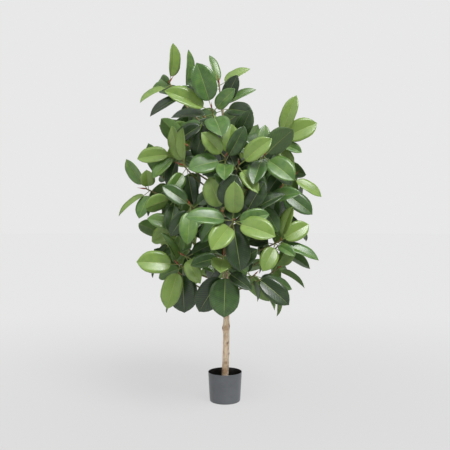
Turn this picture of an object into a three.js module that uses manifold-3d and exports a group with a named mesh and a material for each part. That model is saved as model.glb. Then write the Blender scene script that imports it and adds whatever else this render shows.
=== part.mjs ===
// Potted rubber plant (Ficus elastica), 1.8 m tall: a bare wooden trunk in a plain round pot, with
// leafy shoots all the way round the trunk's upper part. Millimetres, +Z up, front towards -Y.
// The origin is the middle of the pot's underside, on the surface that it stands on.
import * as THREE from "three";
import { mergeVertices } from "three/addons/utils/BufferGeometryUtils.js";
import Module from "manifold-3d";

const wasm = await Module();
wasm.setup();

const DEGREE = Math.PI / 180;
const UP = new THREE.Vector3(0, 0, 1);

// Pot: thin moulded plastic, open at the top, with drain holes round a plain middle.
const POT_HEIGHT = 145;
const POT_RIM_RADIUS = 84;
const POT_BASE_RADIUS = 76;
const POT_WALL = 2.2;
const POT_FLOOR = 3;
const POT_CORNER_RADIUS = 5;
const POT_SIDES = 40;
const DRAIN_HOLES = 6;
const DRAIN_RADIUS = 5;
const DRAIN_CIRCLE_RADIUS = 48;

// Soil: fills the pot to well below its rim, round the buried foot of the trunk.
const HEADSPACE = 50;
const SEAT_GAP = 0.3;
const SOIL_DOME = 4;

// Trunk: a peeled pole that sways a little between the soil and its top.
const TRUNK_TOP = 1400;
const TRUNK_FOOT_RADIUS = 17.5;
const TRUNK_TOP_RADIUS = 9;
const TRUNK_BURIED = 60;
const TRUNK_SWAY = 7;
const TRUNK_SWAY_LENGTH = 620;
const TRUNK_SIDES = 16;
const TRUNK_ROWS = 13;

// Stem of a shoot: it leaves the trunk sideways, curves up to its tip and ends in a pointed bud.
const STEM_BASE_RADIUS = 4.6;
const STEM_TIP_RADIUS = 2.8;
const STEM_SIDES = 4;
const STEM_ROWS = 5;
const STEM_RISE = 0.3;
const BUD_LENGTH = 42;

// Leaf: a thin arched blade on a round stalk. Its rows are [place along the blade, share of the width].
const STALK_SHARE = 0.22;
const STALK_RADIUS = 1.8;
const BLADE_ROWS = [
  [0.1, 0.62],
  [0.42, 1],
  [0.78, 0.76],
];
const BLADE_WIDTH_SHARE = 0.58;
const BLADE_KEEL = 2;
const BLADE_ARCH = 24;
const FIRST_LEAF = 8;
const LEAF_SPACING = 7;

// Room between neighbours. A stem starts lower down the trunk until it has its room, and a leaf swings
// to one side, or slides down its stem.
const TRUNK_GAP = 0.4;
const BLADE_GAP = 5;
const STALK_GAP = 1;
const STEM_GAP = 3;
const STEM_STEP = 6;
const STEM_STEPS = 20;
const SWING_STEP = 7;
const SWING_STEPS = 25;
const SWING_WAYS = 8;
const LEAF_SLIDES = 6;

// Shoots that are placed one by one, with heights counted from the trunk's top. `from` is where the stem
// leaves the trunk, and `tip` is where it ends, as [right, back, up]. Its leaves come youngest first, each
// as [clock, forward, up, right, length, width share]. A leaf points `clock` degrees round from the right
// and leans `forward` to the front. Its upper face looks `up` above the horizon and `right` of the front.
const SHOOTS = [
  {
    name: "shoot_top_left",
    from: -95,
    tip: [-281, 20, 192],
    leaves: [
      [86, 0, 0, 60, 172],
      [211, 5, 50, -20, 150, 0.55],
      [178, -35, 20, -30, 110],
      [140, -40, 20, -50, 120],
      [350, -35, 40, 10, 150],
    ],
  },
  {
    name: "shoot_top_back_left",
    from: -50,
    tip: [-210, 110, 165],
    leaves: [
      [87, -5, 0, 66, 195, 0.48],
      [210, -8, 50, 0, 185, 0.56],
      [165, -35, 40, -20, 150],
      [272, -20, 30, 0, 155],
    ],
  },
  {
    name: "shoot_top_front",
    from: -165,
    tip: [-62, -200, 20],
    leaves: [
      [108, 8, 15, 0, 187, 0.68],
      [158, 5, 26, 0, 200, 0.54],
      [42, 25, 20, 10, 130],
      [289, 46, 25, 0, 165, 0.72],
      [182, -10, 50, 0, 170],
      [250, -45, 20, 0, 150],
    ],
  },
  {
    name: "shoot_top_right",
    from: -14,
    tip: [-30, 60, 195],
    leaves: [
      [29, -5, 45, 0, 152, 0.5],
      [150, -10, 30, 0, 140],
      [99, -20, 10, 30, 172, 0.34],
      [185, -30, 30, -20, 150],
    ],
  },
  {
    name: "shoot_top_back_right",
    from: -110,
    tip: [-12, 75, 92],
    leaves: [
      [27, -5, 50, 0, 162, 0.46],
      [64, 12, 10, 0, 150, 0.56],
      [344, 35, 15, 0, 160, 0.58],
      [200, -10, 30, 0, 150],
    ],
  },
  {
    name: "shoot_upper_left",
    from: -200,
    tip: [-95, -70, -12],
    leaves: [
      [226, 10, 30, -10, 165, 0.6],
      [196, -25, 30, -10, 140],
      [248, -12, 25, 0, 155],
      [300, -10, 30, 20, 155],
      [335, -35, 20, 0, 150],
    ],
  },
  {
    name: "shoot_left_high",
    from: -335,
    tip: [-250, -50, -168],
    leaves: [
      [188, 0, 22, -10, 158, 0.62],
      [221, 15, 45, -10, 140, 0.6],
      [258, 0, 10, -30, 140],
      [330, -20, 30, 0, 140],
      [20, -40, 20, 0, 140],
    ],
  },
  {
    name: "shoot_left_high_inner",
    from: -380,
    tip: [-199, -130, -239],
    leaves: [
      [92, 8, 0, -45, 155, 0.55],
      [101, -16, 0, -45, 190, 0.5],
      [238, 20, 20, 30, 150, 0.55],
      [285, 10, 30, 0, 145],
    ],
  },
  {
    name: "shoot_far_left",
    from: -465,
    tip: [-393, -20, -344],
    leaves: [
      [125, 0, 10, -35, 152, 0.5],
      [92, 28, 0, 10, 90, 0.85],
      [219, -5, 60, -10, 170, 0.42],
      [241, 10, 20, -20, 125, 0.62],
      [320, -20, 30, 0, 140],
    ],
  },
  {
    name: "shoot_left_low",
    from: -510,
    tip: [-257, -100, -390],
    leaves: [
      [203, 25, 150, 0, 125, 0.75],
      [211, -22, 70, 0, 155, 0.5],
      [262, 22, 20, 0, 145],
      [60, -10, 10, 40, 135],
      [300, -15, 30, 0, 135],
      [350, -40, 20, 0, 145],
    ],
  },
  {
    name: "shoot_centre_high",
    from: -360,
    tip: [2, -260, -212],
    leaves: [
      [128, 15, 10, 0, 132, 0.62],
      [80, -18, 10, 0, 150],
      [196, 15, 25, 0, 150, 0.72],
      [262, 48, 20, 0, 135, 0.68],
      [71, 0, 5, 20, 155],
      [300, -45, 20, 0, 155],
      [150, -45, 20, 0, 150],
    ],
  },
  {
    name: "shoot_right_high_inner",
    from: -415,
    tip: [62, -285, -250],
    leaves: [
      [38, 8, 20, -5, 160, 0.6],
      [300, 20, 15, 0, 140, 0.5],
      [325, 5, 30, 0, 135],
      [170, 0, 30, 0, 130],
      [250, -45, 20, 0, 150],
      [120, -40, 20, 0, 140],
    ],
  },
  {
    name: "shoot_right_inner",
    from: -495,
    tip: [100, -290, -365],
    leaves: [
      [56, 0, 10, 0, 165, 0.5],
      [118, 12, 0, 20, 140],
      [200, 0, 20, 0, 140],
      [285, -35, 20, 0, 150],
      [160, -45, 20, 0, 150],
    ],
  },
  {
    name: "shoot_right_high",
    from: -345,
    tip: [180, -240, -204],
    leaves: [
      [319, 20, 25, 0, 158, 0.76],
      [250, 20, 15, -10, 158, 0.62],
      [42, 15, 150, 0, 162, 0.75],
      [322, -12, 30, 0, 160],
      [81, -12, 0, 0, 145, 0.45],
      [140, 10, 20, 0, 140],
      [210, -45, 20, 0, 150],
    ],
  },
  {
    name: "shoot_right_top",
    from: -255,
    tip: [270, -80, -108],
    leaves: [
      [69, 0, 0, -15, 195, 0.42],
      [25, 0, 15, 0, 174, 0.66],
      [343, 10, 20, 0, 110],
      [305, 0, 10, 0, 120],
      [185, -20, 30, 0, 140],
    ],
  },
  {
    name: "shoot_right_mid",
    from: -415,
    tip: [330, -50, -287],
    leaves: [
      [327, 0, 40, 0, 148, 0.48],
      [88, -10, 0, 40, 95],
      [206, 12, 40, 0, 150, 0.5],
      [110, -30, 20, 0, 130],
      [275, 10, 20, 20, 140],
    ],
  },
  {
    name: "shoot_centre",
    from: -610,
    tip: [38, -400, -500],
    leaves: [
      [89, 20, 10, 0, 145, 0.64],
      [176, 8, 38, 0, 175, 0.55],
      [232, 28, 15, 0, 145, 0.76],
      [341, 15, 28, 0, 165, 0.7],
      [279, 8, 18, 0, 180, 0.66],
      [14, -5, 20, 0, 140],
      [110, -45, 20, 0, 150],
      [215, -45, 20, 0, 150],
    ],
  },
  {
    name: "shoot_centre_left",
    from: -550,
    tip: [-10, -315, -465],
    leaves: [
      [84, -5, 10, -10, 150, 0.78],
      [106, -18, 10, -20, 150, 0.7],
      [205, -10, 40, 0, 140],
      [300, -45, 20, 0, 150],
    ],
  },
  {
    name: "shoot_centre_right",
    from: -565,
    tip: [90, -310, -475],
    leaves: [
      [64, 10, 15, 0, 145, 0.62],
      [27, 0, 50, 0, 172, 0.5],
      [330, -20, 30, 0, 135],
      [235, -45, 20, 0, 150],
    ],
  },
  {
    name: "shoot_right_centre",
    from: -520,
    tip: [180, -220, -410],
    leaves: [
      [12, 12, 38, 0, 150],
      [62, -8, 10, 0, 145],
      [300, 0, 30, 0, 135],
      [195, -35, 20, 0, 145],
    ],
  },
  {
    name: "shoot_far_right",
    from: -545,
    tip: [262, -120, -346],
    leaves: [
      [322, 5, 20, 10, 168],
      [75, -25, 20, 0, 140],
      [255, -20, 30, 0, 140],
      [100, 0, 10, 0, 135],
      [190, -30, 20, 0, 150],
    ],
  },
  {
    name: "shoot_right_low",
    from: -695,
    tip: [262, -190, -596],
    leaves: [
      [84, 10, 0, -40, 145, 0.5],
      [29, -12, 20, 10, 142, 0.66],
      [336, 0, 50, 0, 176, 0.44],
      [242, 22, 20, 10, 132, 0.66],
      [322, 25, 30, 0, 100],
      [170, -40, 20, 0, 150],
    ],
  },
  {
    name: "shoot_bottom_right",
    from: -840,
    tip: [139, -230, -750],
    leaves: [
      [319, 6, 25, 0, 175, 0.6],
      [338, -18, 38, 0, 172, 0.4],
      [303, -10, 20, 65, 165],
      [155, 15, 20, 0, 150, 0.6],
      [285, -28, 30, 50, 120],
      [110, -35, 20, 0, 150],
    ],
  },
  {
    name: "shoot_bottom_left",
    from: -805,
    tip: [-222, -180, -706],
    leaves: [
      [176, 5, 18, -10, 165, 0.7],
      [254, 5, 10, -10, 178, 0.6],
      [122, -5, 0, 62, 155, 0.5],
      [272, -10, 15, 0, 190, 0.74],
      [205, -25, 30, 0, 125],
      [40, -35, 20, 0, 150],
    ],
  },
  {
    name: "shoot_left_mid",
    from: -625,
    tip: [-222, -120, -530],
    leaves: [
      [206, 10, 30, 0, 140, 0.72],
      [150, -12, 30, 0, 140],
      [262, 0, 10, 20, 145],
      [95, 12, 0, 0, 145],
      [345, -35, 20, 0, 150],
    ],
  },
  {
    name: "shoot_bottom_left_inner",
    from: -750,
    tip: [-190, -230, -662],
    leaves: [
      [302, 28, 20, -20, 135],
      [332, 10, 55, 0, 130],
      [25, -10, 30, 0, 135],
    ],
  },
  {
    name: "shoot_mid_left",
    from: -560,
    tip: [-160, -255, -430],
    leaves: [
      [266, 15, 15, 0, 155, 0.6],
      [235, 0, 20, 0, 140],
      [145, 0, 20, 0, 140],
      [35, -10, 30, 0, 130],
      [300, -45, 20, 0, 150],
    ],
  },
  {
    name: "shoot_inner_left",
    from: -630,
    tip: [-79, -275, -501],
    leaves: [
      [250, 10, 20, 0, 158, 0.62],
      [205, 0, 30, 0, 135],
      [315, 0, 30, 0, 135],
      [85, -40, 20, 0, 150],
    ],
  },
  {
    name: "shoot_low_centre",
    from: -775,
    tip: [-6, -300, -658],
    leaves: [
      [258, 25, 15, 0, 112, 0.95],
      [195, 5, 30, 0, 130],
      [335, 0, 30, 0, 140],
      [35, -10, 30, 0, 135],
      [95, -40, 20, 0, 150],
      [235, -45, 20, 0, 150],
    ],
  },
  {
    name: "shoot_bottom_centre",
    from: -835,
    tip: [2, -315, -718],
    leaves: [
      [268, 5, 10, 0, 178, 0.78],
      [238, -12, 15, 0, 195, 0.62],
      [320, 15, 30, 0, 125],
      [30, -10, 30, 0, 130],
      [85, -45, 20, 0, 150],
    ],
  },
];

// Shoots that follow one rule, each as [turn round the trunk from the front, height of the tip from the
// trunk's top, reach from the trunk]. Rear ones make up the sides and back, and inner ones fill the middle.
// Each has a spiral of leaves that look outwards and up.
const REAR_SHOOTS = [
  [196, -10, 190],
  [176, -75, 210],
  [218, -60, 230],
  [148, -195, 200],
  [250, -120, 200],
  [160, -130, 290],
  [205, -190, 330],
  [120, -210, 280],
  [170, -300, 350],
  [245, -290, 330],
  [130, -390, 360],
  [215, -440, 370],
  [95, -470, 320],
  [172, -540, 370],
  [260, -580, 300],
  [125, -640, 340],
  [210, -680, 330],
  [165, -770, 290],
  [95, -740, 270],
  [245, -780, 250],
];
const INNER_SHOOTS = [
  [20, -130, 150],
  [65, -310, 150],
  [75, -520, 180],
  [298, -600, 190],
];
const SPIRAL = 137.5;
const SPIRAL_START = 90;
const SPIRAL_OFFSET = 47;
const SPIRAL_UP = 32;
const SPIRAL_LENGTHS = [155, 180, 195, 190, 180];
const SPIRAL_FORWARD = [38, 26, 14, 4, -6];
const STEM_DROP = 0.45;
const HIGHEST_START = -25;

// The trunk's centre line and radius at a height.
function trunkCentre(z) {
  const above = Math.max(0, z - (POT_HEIGHT - HEADSPACE));
  const swing = (above / TRUNK_SWAY_LENGTH) * Math.PI;
  return new THREE.Vector3(TRUNK_SWAY * Math.sin(swing), -TRUNK_SWAY * Math.sin(swing * 0.7), z);
}

function trunkRadius(z) {
  return THREE.MathUtils.mapLinear(z, 0, TRUNK_TOP, TRUNK_FOOT_RADIUS, TRUNK_TOP_RADIUS);
}

// A closed skin over rings of points that run anticlockwise about the way to the tip. It is a cone whose
// rows of points are moved to the rings, and whose base is the flat of the first ring.
function skin(rings, tip) {
  const sides = rings[0].length;
  const rows = rings.length;
  const geometry = new THREE.ConeGeometry(1, rows, sides, rows);
  const position = geometry.getAttribute("position");
  const middle = rings[0].reduce((sum, p) => sum.add(p), new THREE.Vector3()).divideScalar(sides);
  const point = new THREE.Vector3();
  for (let i = 0; i < position.count; i += 1) {
    point.fromBufferAttribute(position, i);
    const row = Math.round(rows / 2 - point.y);
    const column = Math.round((Math.atan2(point.x, point.z) / (2 * Math.PI)) * sides + sides) % sides;
    const onAxis = Math.hypot(point.x, point.z) < 1e-6;
    const onSkin = row === 0 ? tip : rings[rows - row][column];
    const place = onAxis && row === rows ? middle : onSkin;
    position.setXYZ(i, place.x, place.y, place.z);
  }
  return geometry;
}

// A three.js geometry as a manifold-3d solid.
function solidOf(geometry) {
  const bare = geometry.index ? geometry.toNonIndexed() : geometry.clone();
  bare.deleteAttribute("normal");
  bare.deleteAttribute("uv");
  const merged = mergeVertices(bare, 1e-4);
  const mesh = new wasm.Mesh({
    numProp: 3,
    vertProperties: merged.getAttribute("position").array,
    triVerts: new Uint32Array(merged.index.array),
  });
  return new wasm.Manifold(mesh);
}

// A manifold-3d solid as a three.js geometry.
function geometryOf(solid) {
  const mesh = solid.getMesh();
  const geometry = new THREE.BufferGeometry();
  geometry.setAttribute("position", new THREE.BufferAttribute(new Float32Array(mesh.vertProperties), 3));
  geometry.setIndex(new THREE.BufferAttribute(new Uint32Array(mesh.triVerts), 1));
  geometry.computeVertexNormals();
  return geometry;
}

// A profile of [radius, height] points turned about +Z.
function turned(profile, sides) {
  const points = profile.map(([r, z]) => new THREE.Vector2(r, z));
  return new THREE.LatheGeometry(points, sides).rotateX(Math.PI / 2);
}

// The pot's inner radius at a height.
function potInside(z) {
  return THREE.MathUtils.mapLinear(z, 0, POT_HEIGHT, POT_BASE_RADIUS, POT_RIM_RADIUS) - POT_WALL;
}

function makePot() {
  const corner = POT_CORNER_RADIUS;
  const cornerSteps = 3;
  const profile = [[0, 0]];
  for (let i = 0; i <= cornerSteps; i += 1) {
    const turn = (i / cornerSteps) * (Math.PI / 2);
    const out = POT_BASE_RADIUS - corner + corner * Math.sin(turn);
    profile.push([out, corner - corner * Math.cos(turn)]);
  }
  profile.push([POT_RIM_RADIUS, POT_HEIGHT - POT_WALL]);
  profile.push([POT_RIM_RADIUS - POT_WALL / 4, POT_HEIGHT]);
  profile.push([POT_RIM_RADIUS - POT_WALL, POT_HEIGHT]);
  profile.push([potInside(corner), corner]);
  profile.push([potInside(POT_FLOOR) - corner / 2, POT_FLOOR]);
  profile.push([0, POT_FLOOR]);
  let pot = solidOf(turned(profile, POT_SIDES));
  for (let i = 0; i < DRAIN_HOLES; i += 1) {
    const turn = (i / DRAIN_HOLES) * 2 * Math.PI;
    const hole = new THREE.CylinderGeometry(DRAIN_RADIUS, DRAIN_RADIUS, 4 * POT_FLOOR, 8);
    hole.rotateX(Math.PI / 2);
    hole.translate(DRAIN_CIRCLE_RADIUS * Math.cos(turn), DRAIN_CIRCLE_RADIUS * Math.sin(turn), 0);
    pot = pot.subtract(solidOf(hole));
  }
  return geometryOf(pot);
}

function makeSoil() {
  const bottom = POT_FLOOR + SEAT_GAP;
  const shoulder = POT_CORNER_RADIUS + SEAT_GAP;
  const top = POT_HEIGHT - HEADSPACE;
  const hole = trunkRadius(0) + SEAT_GAP;
  const profile = [
    [0, bottom],
    [potInside(POT_FLOOR) - POT_CORNER_RADIUS / 2 - SEAT_GAP, bottom],
    [potInside(shoulder) - SEAT_GAP, shoulder],
    [potInside(top) - SEAT_GAP, top],
    [(potInside(top) + hole) / 2, top + SOIL_DOME / 2],
    [hole, top + SOIL_DOME],
    [hole, top - TRUNK_BURIED - SEAT_GAP],
    [0, top - TRUNK_BURIED - SEAT_GAP],
  ];
  return turned(profile, POT_SIDES);
}

// A level ring of the trunk. Its foot stands straight, as thick as the hole in the soil allows.
function trunkRing(z) {
  const centre = trunkCentre(z);
  const radius = z < POT_HEIGHT - HEADSPACE + SOIL_DOME ? TRUNK_FOOT_RADIUS : trunkRadius(z);
  return Array.from({ length: TRUNK_SIDES }, (_, i) => {
    const turn = (i / TRUNK_SIDES) * 2 * Math.PI;
    const rim = new THREE.Vector3(Math.cos(turn), Math.sin(turn), 0);
    return rim.multiplyScalar(radius).add(centre);
  });
}

function makeTrunk() {
  const foot = POT_HEIGHT - HEADSPACE - TRUNK_BURIED;
  const soilTop = POT_HEIGHT - HEADSPACE + SOIL_DOME;
  const heights = [foot];
  for (let i = 0; i < TRUNK_ROWS; i += 1) {
    heights.push(THREE.MathUtils.lerp(soilTop, TRUNK_TOP, i / (TRUNK_ROWS - 1)));
  }
  const crown = trunkCentre(TRUNK_TOP + TRUNK_TOP_RADIUS / 2);
  return skin(heights.map(trunkRing), crown);
}

// A shoot's line from the trunk's surface to its tip: out along the level at first, and then up.
function stemLine(shoot, lowered) {
  const height = TRUNK_TOP + shoot.from - lowered;
  const tip = new THREE.Vector3(0, 0, TRUNK_TOP).add(new THREE.Vector3(...shoot.tip));
  const centre = trunkCentre(height);
  const out = tip.clone().sub(centre).setZ(0);
  const reach = out.length();
  out.normalize();
  const start = centre.clone().addScaledVector(out, trunkRadius(height) + TRUNK_GAP);
  const bend = start.clone().addScaledVector(out, reach / 2);
  bend.z = THREE.MathUtils.lerp(start.z, tip.z, STEM_RISE);
  return { out, curve: new THREE.QuadraticBezierCurve3(start, bend, tip) };
}

// A ring of points round a line that runs along `way`.
function stemRing(centre, way, radius) {
  const over = UP.clone().addScaledVector(way, -UP.dot(way)).normalize();
  const side = over.clone().cross(way);
  return Array.from({ length: STEM_SIDES }, (_, i) => {
    const turn = (i / STEM_SIDES) * 2 * Math.PI;
    const rim = side.clone().multiplyScalar(Math.cos(turn)).addScaledVector(over, Math.sin(turn));
    return rim.multiplyScalar(radius).add(centre);
  });
}

// The stem's first ring is upright, to sit flat against the trunk, and its bud runs straight on.
function makeStem({ out, curve }) {
  const rings = [];
  for (let i = 0; i <= STEM_ROWS; i += 1) {
    const share = i / STEM_ROWS;
    const way = i === 0 ? out : curve.getTangentAt(share);
    const radius = THREE.MathUtils.lerp(STEM_BASE_RADIUS, STEM_TIP_RADIUS, share);
    rings.push(stemRing(curve.getPointAt(share), way, radius));
  }
  const bud = curve.getPointAt(1).addScaledVector(curve.getTangentAt(1), BUD_LENGTH);
  return solidOf(skin(rings, bud));
}

// The unit vector that points `clock` round from the right and `forward` to the front, for a shoot that
// looks `turn` round the trunk.
function pointing(clock, forward, turn) {
  const c = clock * DEGREE;
  const f = forward * DEGREE;
  const way = new THREE.Vector3(Math.cos(f) * Math.cos(c), -Math.sin(f), Math.cos(f) * Math.sin(c));
  return way.applyAxisAngle(UP, turn * DEGREE);
}

// The unit vector that looks `up` above the horizon and `right` of the front.
function looking(up, right, turn) {
  const u = up * DEGREE;
  const way = new THREE.Vector3(0, -Math.cos(u), Math.sin(u));
  return way.applyAxisAngle(UP, (right + turn) * DEGREE);
}

// A leaf's stalk and blade as separate solids, for room, and both as one, to join to the stem.
// Each ring has a right edge, a left edge and the midrib underneath.
function makeLeaf(root, along, face, length, widthShare) {
  const over = face.clone().addScaledVector(along, -face.dot(along)).normalize();
  const side = over.clone().cross(along);
  const arch = BLADE_ARCH * DEGREE;
  const radius = length / arch;
  const stalk = length * STALK_SHARE;
  const halfWidth = (length * widthShare) / 2;
  const leaning = (lean, forward, upward) =>
    along
      .clone()
      .multiplyScalar(forward * Math.cos(lean) - upward * Math.sin(lean))
      .addScaledVector(over, forward * Math.sin(lean) + upward * Math.cos(lean));
  const ring = (centre, lean, wide, deep) => [
    centre.clone().addScaledVector(side, wide),
    centre.clone().addScaledVector(side, -wide),
    centre.clone().add(leaning(lean, 0, -deep)),
  ];
  const base = root.clone().add(leaning(arch / 2, stalk, 0));
  const onBlade = (share) => {
    const lean = arch * (0.5 - share);
    const forward = radius * (Math.sin(arch / 2) - Math.sin(lean));
    const upward = radius * (Math.cos(lean) - Math.cos(arch / 2));
    return base.clone().addScaledVector(along, forward).addScaledVector(over, upward);
  };
  const stalkFoot = ring(root, arch / 2, STALK_RADIUS, STALK_RADIUS);
  const stalkNeck = ring(base, arch / 2, STALK_RADIUS, STALK_RADIUS);
  const bladeRings = BLADE_ROWS.map(([share, wide]) =>
    ring(onBlade(share), arch * (0.5 - share), wide * halfWidth, BLADE_KEEL),
  );
  const tip = onBlade(1);
  return {
    stalk: solidOf(skin([stalkFoot, stalkNeck], onBlade(BLADE_ROWS[0][0]))),
    blade: solidOf(skin([stalkNeck, ...bladeRings], tip)),
    whole: solidOf(skin([stalkFoot, stalkNeck, ...bladeRings], tip)),
  };
}

// Ways to swing a leaf aside, as [clock, forward] in degrees, nearest to its own place first.
const swings = [[0, 0]];
for (let step = 1; step <= SWING_STEPS; step += 1) {
  for (let way = 0; way < SWING_WAYS; way += 1) {
    const turn = (way / SWING_WAYS) * 2 * Math.PI;
    const swing = step * SWING_STEP;
    swings.push([swing * Math.cos(turn), swing * Math.sin(turn)]);
  }
}

// What a later leaf has to clear: every stem, stalk and blade so far.
const placed = [];

function place(solid, shoot, isBlade) {
  const { min, max } = solid.boundingBox();
  placed.push({ solid, shoot, isBlade, min, max });
}

// True if the solid keeps its room from everything placed. A stalk may meet its own shoot's wood.
function hasRoom(solid, shoot, isBlade) {
  const { min, max } = solid.boundingBox();
  return placed.every((other) => {
    const gap = isBlade && other.isBlade ? BLADE_GAP : STALK_GAP;
    const apart = [0, 1, 2].some((k) => min[k] > other.max[k] + gap || max[k] < other.min[k] - gap);
    const sameWood = !isBlade && !other.isBlade && shoot === other.shoot;
    return apart || sameWood || solid.minGap(other.solid, gap) >= gap;
  });
}

// Grows a stem from where it is wanted, or as little below as clears the stems before it.
function growStem(shoot) {
  for (let step = 0; step <= STEM_STEPS; step += 1) {
    const line = stemLine(shoot, step * STEM_STEP);
    const solid = makeStem(line);
    if (placed.every((other) => !other.shoot || solid.minGap(other.solid, STEM_GAP) >= STEM_GAP)) {
      place(solid, shoot, false);
      return { line, solid };
    }
  }
  throw new Error(`${shoot.name} has no room for its stem`);
}

// Grows a leaf where it is wanted, or swung aside as little as clears its neighbours. If no swing clears
// them, its stalk leaves the stem a little lower down.
function growLeaf(shoot, leaf, order, line) {
  const [clock, forward, up, right, length, widthShare = BLADE_WIDTH_SHARE] = leaf;
  const turn = shoot.turn ?? 0;
  const face = looking(up, right, turn);
  for (let slide = 0; slide <= LEAF_SLIDES; slide += 1) {
    const fromTip = FIRST_LEAF + (order + slide) * LEAF_SPACING;
    const root = line.curve.getPointAt(1 - fromTip / line.curve.getLength());
    for (const [swingClock, swingForward] of swings) {
      const along = pointing(clock + swingClock, forward + swingForward, turn);
      const made = makeLeaf(root, along, face, length, widthShare);
      if (hasRoom(made.blade, shoot, true) && hasRoom(made.stalk, shoot, false)) {
        place(made.blade, shoot, true);
        place(made.stalk, shoot, false);
        return made.whole;
      }
    }
  }
  throw new Error(`${shoot.name} has no room for leaf ${order + 1}`);
}

// Shoots with a spiral of leaves each, whose stems start below their tips by a share of their reach.
function spiralShoots(kind, list) {
  return list.map(([turn, height, reach], i) => {
    const out = pointing(0, 90, turn);
    const firstClock = SPIRAL_START + i * SPIRAL_OFFSET;
    const leaves = SPIRAL_LENGTHS.map((length, k) => [
      firstClock + k * SPIRAL,
      SPIRAL_FORWARD[k],
      SPIRAL_UP,
      0,
      length,
    ]);
    return {
      name: `shoot_${kind}_${String(i + 1).padStart(2, "0")}`,
      turn,
      from: Math.min(height - STEM_DROP * reach, HIGHEST_START),
      tip: [out.x * reach, out.y * reach, height],
      leaves,
    };
  });
}

function material(colour, roughness) {
  return new THREE.MeshStandardMaterial({ color: colour, roughness, metalness: 0 });
}

function named(name, geometry, look) {
  const mesh = new THREE.Mesh(geometry, look);
  mesh.name = name;
  return mesh;
}

const potPlastic = material(0x55585c, 0.55);
const pottingSoil = material(0x2b2119, 0.95);
const peeledWood = material(0xc9a887, 0.75);
const leafGreen = material(0x4f8038, 0.45);

const plant = new THREE.Group();
plant.add(named("pot", makePot(), potPlastic));
plant.add(named("soil", makeSoil(), pottingSoil));
plant.add(named("trunk", makeTrunk(), peeledWood));

const shoots = [
  ...SHOOTS,
  ...spiralShoots("rear", REAR_SHOOTS),
  ...spiralShoots("inner", INNER_SHOOTS),
];
place(solidOf(makeTrunk()), null, false);
const stems = shoots.map(growStem);
shoots.forEach((shoot, i) => {
  const leaves = shoot.leaves.map((leaf, order) => growLeaf(shoot, leaf, order, stems[i].line));
  const whole = leaves.reduce((joined, leaf) => joined.add(leaf), stems[i].solid);
  plant.add(named(shoot.name, geometryOf(whole), leafGreen));
});

export default plant;
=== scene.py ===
"""A potted rubber plant, 1.8 m tall. Metres, +Z up, front towards -Y.

The frame gives each shoot as one plain solid. This script reads where its wood and its leaves lie, and
grows them again in full: bark, stalks, waxy blades with their veins, and red bud sheaths. It also makes
the trunk, the pot and the soil, and sets the floor, the lights and the camera.
"""

import math
import random

import bmesh
import bpy
from mathutils import Euler, Matrix, Vector, noise


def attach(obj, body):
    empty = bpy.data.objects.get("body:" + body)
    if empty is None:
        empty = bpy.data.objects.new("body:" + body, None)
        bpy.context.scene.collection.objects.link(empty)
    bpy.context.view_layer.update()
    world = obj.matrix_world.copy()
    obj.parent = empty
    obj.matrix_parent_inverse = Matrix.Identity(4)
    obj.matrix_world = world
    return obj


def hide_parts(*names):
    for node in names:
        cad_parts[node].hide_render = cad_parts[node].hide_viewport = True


MM = 0.001
UP = Vector((0, 0, 1))

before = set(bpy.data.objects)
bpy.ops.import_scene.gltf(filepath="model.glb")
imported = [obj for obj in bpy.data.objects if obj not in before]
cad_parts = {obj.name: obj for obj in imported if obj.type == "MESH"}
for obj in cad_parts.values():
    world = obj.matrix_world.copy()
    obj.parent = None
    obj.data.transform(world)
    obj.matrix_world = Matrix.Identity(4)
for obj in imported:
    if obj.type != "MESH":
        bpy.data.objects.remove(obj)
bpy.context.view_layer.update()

# Leaves, as the frame's leaves are laid out. A blade's rows are at these shares of its length.
ROW_SHARES = (0.78, 0.42, 0.1, 0.0)
WIDEST_ROW = 1
STALK_SHARE = 0.22
# No corner of a blade's last row is nearer to its tip than this.
NEAREST_TO_TIP = 15 * MM
BLADE_THICKNESS = 0.9 * MM
# The finished blade: its rows as [share of the length, share of the full width].
OUTLINE = (
    (0.0, 0.04),
    (0.03, 0.36),
    (0.09, 0.62),
    (0.18, 0.84),
    (0.3, 0.97),
    (0.44, 1.0),
    (0.58, 0.98),
    (0.71, 0.88),
    (0.82, 0.66),
    (0.91, 0.38),
    (0.965, 0.14),
    (1.0, 0.015),
)
BLADE_COLUMNS = 6
# How leaves differ, as least and most: the slope of each half, the height and number of the waves along
# the edges, and the twist.
FOLD_DEGREES = (14, 30)
WAVE_HEIGHT = (0.6 * MM, 1.8 * MM)
WAVE_COUNT = (1.5, 2.5)
TWIST_DEGREES = (-7, 7)
# The waves of the two edges are out of step by this many radians.
WAVE_SHIFT = 2
# A folded half levels off by this share towards its edge.
FOLD_EASES = 0.25
# The blade's twist is nil at this share of its length.
TWIST_FROM = 0.3
# The pairs of side veins, and how far along each one has run when it reaches the margin.
SIDE_VEINS = 19
VEIN_SLANT = 0.17
# The stalk's radius, and the midrib's where it leaves the stalk and where it fades out, towards the tip.
STALK_RADIUS = 1.9 * MM
MIDRIB_RADII = (1.75 * MM, 0.4 * MM)
MIDRIB_END = 0.86
# The share of the rod that becomes the stalk, while the rest becomes the midrib.
STALK_PART = 0.4
STALK_SAG = 1.2 * MM
# The stalk swells by this share where it leaves the stem.
STALK_SWELL = 0.45
STALK_SWELL_END = 0.06
# The fold lowers the midrib by this share of the width, for each unit of the fold's sine.
FOLD_DEPTH = 0.22

# Wood of a shoot, as the frame's stems are laid out, and its bud.
FIRST_LEAF = 8 * MM
STEM_RISE = 0.3
STEM_BASE_RADIUS = 5.2 * MM
STEM_TIP_RADIUS = 3.0 * MM
# The corners this near to the trunk's side are the stem's first ring.
STEM_FOOT_DEPTH = 3 * MM
# The stem runs into the trunk this far, and swells to a collar there.
STEM_SUNK = 4 * MM
COLLAR_SWELL = 0.7
COLLAR_LENGTH = 6 * MM
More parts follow.
